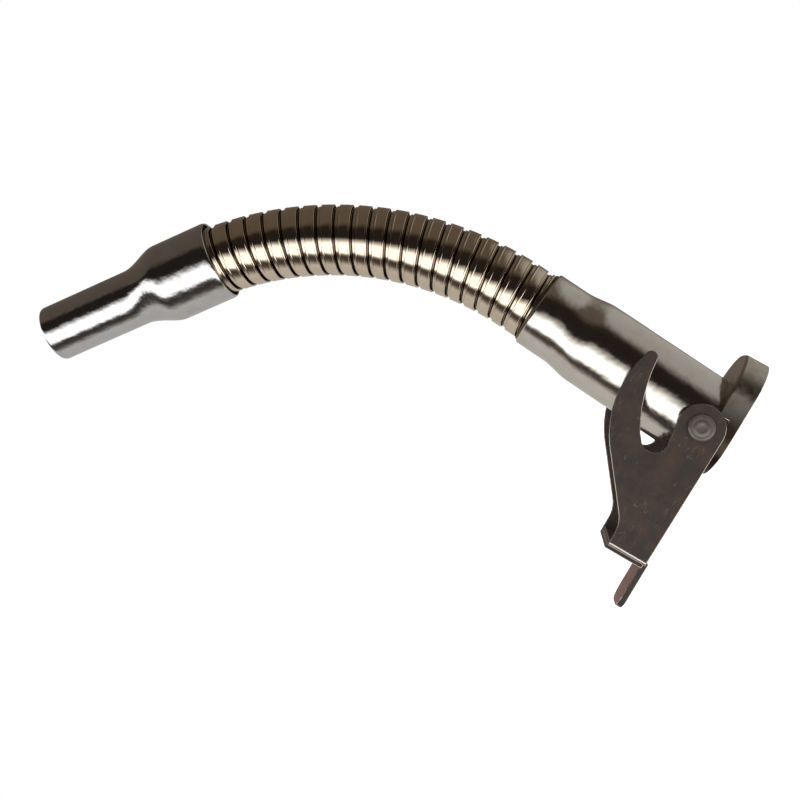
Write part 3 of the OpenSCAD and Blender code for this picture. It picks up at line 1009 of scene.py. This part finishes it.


# Painted shade in the hose's grooves, laid over the strip's colour.
paint_groove_shade(nickel)
winding = wound_strip()
strip_section = outline_object("strip_section", strip_outline)
middle = hose_line()
turn_names = ["hose_root_turn", *[f"hose_turn_{k:02d}" for k in range(1, 21)], "hose_tip_turn"]
turn_bodies = ["can_fitting", *[f"link_{k:02d}" for k in range(1, 21)], "nozzle_end"]
for k, (turn_name, turn_body) in enumerate(zip(turn_names, turn_bodies)):
    strip = grown(
        turn_name + "_strip",
        winding,
        {
            "Outline": strip_section,
            "From": (k + 1) * pitch * mm,
            "Pitch": pitch * mm,
            "Steps": strip_steps,
            "Metal": nickel,
        },
        base=middle,
    )
    form = bmesh.new()
    form.from_mesh(strip.data)
    bmesh.ops.recalc_face_normals(form, faces=form.faces)
    form.to_mesh(strip.data)
    form.free()
    finished(strip, turn_body, [turn_name], "hose_strip")

# ---- Root solder ----
# Ring of solder run in between the sleeve and the first turn. It stands a little
# proud of the sleeve's rim, and the torch has burnt it dark brown.
solder_tint = (0.16, 0.12, 0.08)
solder_burnt = (0.05, 0.035, 0.025)
solder_bore_r = 15.92
solder_sleeve_r = 16.22
solder_lip_r = 16.6
solder_top_r = 16.3
solder_from = 92.5
solder_uneven = 0.12


def uneven_ring(a, along):
    """Slow swell of the solder round the ring."""
    return solder_uneven * noise.noise(Vector((3.2 * math.cos(a), 3.2 * math.sin(a), along / 3)))


burnt_solder = plated("burnt_solder", solder_tint, solder_burnt, 0.4, 0.04, 0.006)
solder = lathed(
    "root_solder_ring",
    filleted(
        [
            (solder_bore_r, solder_from, 0),
            (solder_sleeve_r, solder_from, 0),
            (solder_sleeve_r, tube_end - 0.1, 0.1),
            (solder_lip_r, tube_end + 0.3, 0.3),
            (solder_top_r, tube_end + 1.1, 0.3),
            (solder_bore_r, tube_end + 1.3, 0.1),
        ]
    ),
    tube_place,
    wobble=uneven_ring,
)
finished(solder, "can_fitting", ["root_solder"], "braze", burnt_solder)

# ---- Nozzle ----
# Drawn in one from steel tube: a collar over the hose's last turn, a taper and
# the outlet tube. Bright plate over a slightly crinkled skin.
nozzle_lean = math.radians(51.9)
collar_inset = 6.4
collar_r = 18.4
nozzle_wall = 1.2
collar_len = 27.0
taper_len = 18.0
outlet_r = 13.15
nozzle_len = 88.5
nozzle_rows = 56
barrel_from = 2.0
barrel_spare = 3.0
taper_bias = 0.85
taper_middle = 34
taper_spread = 9
tube_waves = 0.05
dimples = 0.008
taper_dimples = 0.03
nozzle_place = (
    Matrix.Translation(bend_points[-1])
    @ Matrix.Rotation(-nozzle_lean, 4, "Y")
    @ Matrix.Translation((0, 0, -collar_inset * mm))
)


def nozzle_radius(along, wall):
    """Outer radius along the nozzle, or inner with a wall: a tight shoulder at
    the collar and a long hollow curve into the outlet tube."""
    t = (along - collar_len) / taper_len
    if t <= 0:
        return collar_r - wall
    if t >= 1:
        return outlet_r - wall
    return collar_r - wall + (outlet_r - collar_r) * eased(t ** taper_bias)


def nozzle_outline():
    """Section of the nozzle: along the outside, over the tip and back inside."""
    alongs = [
        barrel_from + (nozzle_len - barrel_spare) * k / nozzle_rows
        for k in range(nozzle_rows + 1)
    ]
    outer = [(nozzle_radius(s, 0), s) for s in alongs]
    inner = [(nozzle_radius(s, nozzle_wall), s) for s in reversed(alongs)]
    tip = [
        (outlet_r - 0.05, nozzle_len - 0.5),
        (outlet_r - 0.2, nozzle_len - 0.15),
        (outlet_r - 0.5, nozzle_len),
        (outlet_r - nozzle_wall + 0.2, nozzle_len),
        (outlet_r - nozzle_wall, nozzle_len - 0.3),
    ]
    mouth = [
        (collar_r - nozzle_wall, 0.3),
        (collar_r - nozzle_wall + 0.2, 0.0),
        (collar_r - 0.75, 0.0),
        (collar_r - 0.4, 0.25),
        (collar_r - 0.12, 1.0),
    ]
    return outer + tip + inner + mouth


def nozzle_wobble(a, along):
    """Draw marks along the tube and a dimpled skin, strongest at the taper."""
    taper = math.exp(-(((along - taper_middle) / taper_spread) ** 2))
    broad = noise.noise(Vector((1.6 * math.cos(a), 1.6 * math.sin(a), along / 22)))
    fine = noise.noise(Vector((7 * math.cos(a), 7 * math.sin(a), along / 6 + 9)))
    return tube_waves * broad + (dimples + taper_dimples * taper) * fine


bright_plate = plated(
    "bright_plate", (0.57, 0.58, 0.60), (0.46, 0.43, 0.40), 0.10, wave=0.20, grain=0.0012,
    stains=0.5, wave_scale=190.0,
)
nozzle = lathed("nozzle_drawn_tube", nozzle_outline(), nozzle_place, wobble=nozzle_wobble)
finished(nozzle, "nozzle_end", ["nozzle"], "nozzle_steel", bright_plate)

# ---- Tip joint ----
# A short steel bush slipped on the hose's last turn and soldered in the collar.
bush_bore_r = 15.95
bush_r = 16.85
bush_from = 7.6
bush_to = 10.4
bush_edge = 0.2
tip_solder_edge = 0.1 * mm
bush = lathed(
    "tip_joint_bush",
    filleted(
        [
            (bush_bore_r, bush_from, bush_edge),
            (bush_r, bush_from, bush_edge),
            (bush_r, bush_to, bush_edge),
            (bush_bore_r, bush_to, bush_edge),
        ]
    ),
    nozzle_place,
)
finished(bush, "nozzle_end", ["tip_bush"], "air_steel", drawn_steel)
tip_solder = softened("tip_solder", "tip_joint_solder", tip_solder_edge)
finished(tip_solder, "nozzle_end", ["tip_solder"], "braze", burnt_solder, burnt_solder)

# ---- Lever ----
# Two arms cut from 2 mm strip and bent toward each other. The far arm's flange
# laps outside the near one's, and its lower edge runs out into the finger tab.
sheet_edge = 0.28 * mm
bend_outer_r = 1.6 * mm
arm_outer_y = 23.6
near_reach_x = -71.4
far_reach_x = -73.4
near_enough = 0.05
facing_up = 0.7


def bend_at(reach_x, outer_y):
    """Test for the corner where an arm's flange is bent over, at points in mm."""
    return lambda point: (
        abs(point.x - reach_x) < near_enough and abs(point.y - outer_y) < near_enough
    )


lever_plate = plated(
    "stained_lever_plate", (0.038, 0.030, 0.026), (0.075, 0.045, 0.03), 0.42,
    wave=0.03, scratch=0.10, stains=0.8, metal=0.1, sheen=0.3,
)
lever_edge = plated("rubbed_lever_edge", (0.55, 0.51, 0.47), (0.30, 0.25, 0.21), 0.25)
near_bend = bend_at(near_reach_x, -arm_outer_y)
near_arm = softened("lever_near_arm", "lever_near_plate", sheet_edge, near_bend, bend_outer_r)
finished(near_arm, "lever", ["lever_near_arm"], "lever_steel", lever_plate, lever_edge)
tab_face = plated(
    "worn_tab_face", (0.34, 0.16, 0.13), (0.20, 0.10, 0.08), 0.35, metal=0.5, sheen=0.4
)
far_bend = bend_at(far_reach_x, arm_outer_y)
far_arm = softened("lever_far_arm", "lever_far_plate", sheet_edge, far_bend, bend_outer_r)
for face in far_arm.data.polygons:
    if face.center.x < far_reach_x * mm and face.normal.z > facing_up:
        face.material_index = 2
finished(far_arm, "lever", ["lever_far_arm"], "lever_steel", lever_plate, lever_edge, tab_face)

# ---- Rivets ----
# Soft steel rivets through the arms, washers and ears. Each has a flat head
# with a rounded rim, and a rough hollow where the setting tool struck it.
pivot = Vector((-10.2, 0, 7.5)) * mm
shank_r = 3.0
head_r = 5.6
head_from = 23.65
head_top = 25.5
shank_from = 19.45
crown_rows = 14
rim_rise = 0.55
dish_r = 1.9
dish_depth = 0.28
ring_r = 3.6
ring_width = 0.45
ring_depth = 0.22
struck_from = 24
struck_rough = 0.05


def rivet_outline():
    """Section of a rivet: shank, rim of the head, then its struck crown."""
    outline = [
        (0, shank_from),
        (shank_r - 0.2, shank_from),
        (shank_r, shank_from + 0.2),
        (shank_r, head_from),
        (head_r - 0.2, head_from),
        (head_r, head_from + 0.25),
    ]
    for k in range(crown_rows + 1):
        t = k / crown_rows
        radius = head_r * math.cos(t * math.pi / 2)
        rise = (head_top - head_from - rim_rise) * math.sin(t * math.pi / 2) ** 0.7
        dish = dish_depth * math.exp(-((radius / dish_r) ** 4))
        ring = ring_depth * math.exp(-(((radius - ring_r) / ring_width) ** 2))
        outline.append((radius, head_from + rim_rise + rise - dish - ring))
    return outline


def struck(a, along):
    """Roughness of the head, left by the setting tool."""
    rough = struck_rough if along > struck_from else 0
    return rough * noise.noise(Vector((4 * math.cos(a), 4 * math.sin(a), along * 3)))


rivet_steel = plated(
    "upset_rivet_steel", (0.13, 0.112, 0.10), (0.04, 0.033, 0.03), 0.26, 0.12, 0.004,
    stains=0.7, metal=0.4,
)
rivet_halves = []
for side in (-1, 1):
    place = Matrix.Translation(pivot) @ Matrix.Rotation(math.radians(-90 * side), 4, "X")
    half = lathed(f"rivet_{side}", rivet_outline(), place, sides=72, wobble=struck)
    rivet_halves.append(half)
form = bmesh.new()
for half in rivet_halves:
    form.from_mesh(half.data)
    bpy.data.objects.remove(half)
rivets = new_piece("lever_rivets", form)
finished(rivets, "can_fitting", ["pivot_rivets"], "rivet_steel", rivet_steel)
